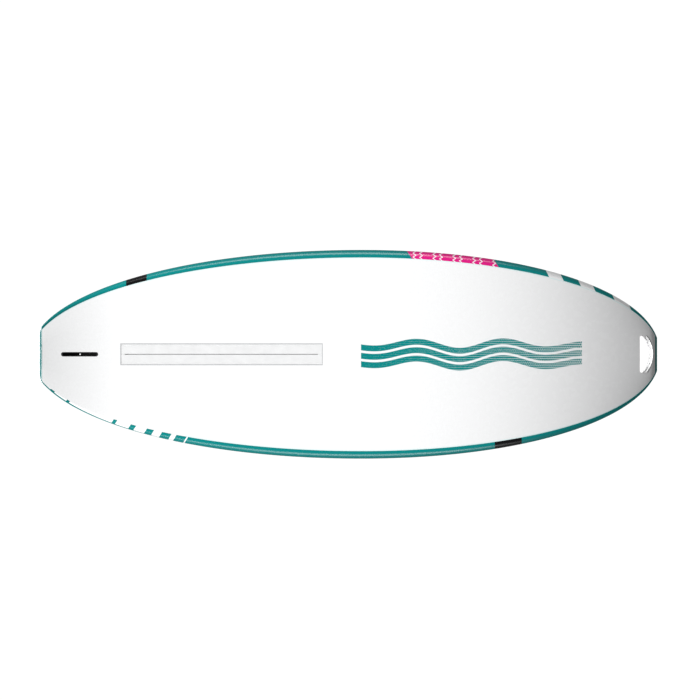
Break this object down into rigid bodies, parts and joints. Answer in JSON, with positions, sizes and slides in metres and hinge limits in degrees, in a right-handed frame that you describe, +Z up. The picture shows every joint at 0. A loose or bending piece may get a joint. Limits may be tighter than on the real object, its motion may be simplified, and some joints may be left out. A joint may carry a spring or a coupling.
{
  "type": "windsurf board",
  "caption": "Flat-bottomed windsurf board with a folding daggerboard, a sliding mast nut, a fin box, foot straps and a nose hand hole.",
  "frame": {"origin": "centre of the bounding box seen from above, on the plane the flat bottom rests on", "axes": "+X to the nose, +Y to port, +Z up to the deck"},
  "size_m": [2.8, 0.9448, 0.2186],
  "materials": {
    "hull_bottom": "gloss",
    "hull_deck": "gloss",
    "foam": "matte",
    "hard_foam": "matte",
    "case_plastic": "satin",
    "gasket": "satin",
    "frame_plastic": "satin",
    "steel": "satin",
    "bearing": "satin",
    "black_rubber": "matte",
    "blade_plastic": "satin",
    "box_plastic": "satin",
    "vent_plastic": "satin",
    "handle_plastic": "satin",
    "deck_foam": "matte",
    "webbing": "matte",
    "strap_padding": "matte"
  },
  "bodies": {
    "board": {"bottom_shell": "hull_bottom", "deck_shell": "hull_deck", "foam_core_tail": "foam", "foam_core_middle": "foam", "foam_core_fore": "foam", "foam_core_nose": "foam", "track_block": "hard_foam", "fin_box_block": "hard_foam", "daggerboard_case": "case_plastic", "slot_gasket_port": "gasket", "slot_gasket_starboard": "gasket", "deck_frame": "frame_plastic", "deck_frame_screws": "steel", "pivot_blocks": "bearing", "pivot_keepers": "frame_plastic", "friction_pads": "black_rubber", "fin_box": "box_plastic", "fin_bolt_sleeve": "frame_plastic", "mast_track": "frame_plastic", "vent_socket": "frame_plastic", "vent_ring": "black_rubber", "nose_handle": "handle_plastic", "strap_plugs": "bearing", "strap_screws": "steel", "strap_washers": "steel", "deck_pad_rear": "deck_foam", "deck_pad_middle": "deck_foam", "deck_pad_front": "deck_foam", "strap_web_front_port": "webbing", "strap_cover_front_port": "strap_padding", "strap_web_front_starboard": "webbing", "strap_cover_front_starboard": "strap_padding", "strap_web_rear_port": "webbing", "strap_cover_rear_port": "strap_padding", "strap_web_rear_starboard": "webbing", "strap_cover_rear_starboard": "strap_padding"},
    "daggerboard": {"daggerboard_blade": "blade_plastic", "daggerboard_grip": "black_rubber", "pivot_pin": "steel"},
    "mast_nut": {"mast_nut": "steel"},
    "vent_screw": {"vent_screw": "vent_plastic"}
  },
  "joints": [
    {"name": "daggerboard_swing", "type": "hinge", "parent": "board", "child": "daggerboard", "pos_m": [-0.184, 0, 0.072], "axis": [0, -1, 0], "range_deg": [0, 80], "deforming": ["slot_gasket_port", "slot_gasket_starboard"]},
    {"name": "mast_nut_slide", "type": "slide", "parent": "board", "child": "mast_nut", "axis": [1, 0, 0], "range_m": [-0.112, 0.104]},
    {"name": "vent_screw_turn", "type": "hinge", "parent": "board", "child": "vent_screw", "pos_m": [0.345, 0, 0.13], "axis": [0, 0, 1], "range_deg": [0, 1080]}
  ]
}
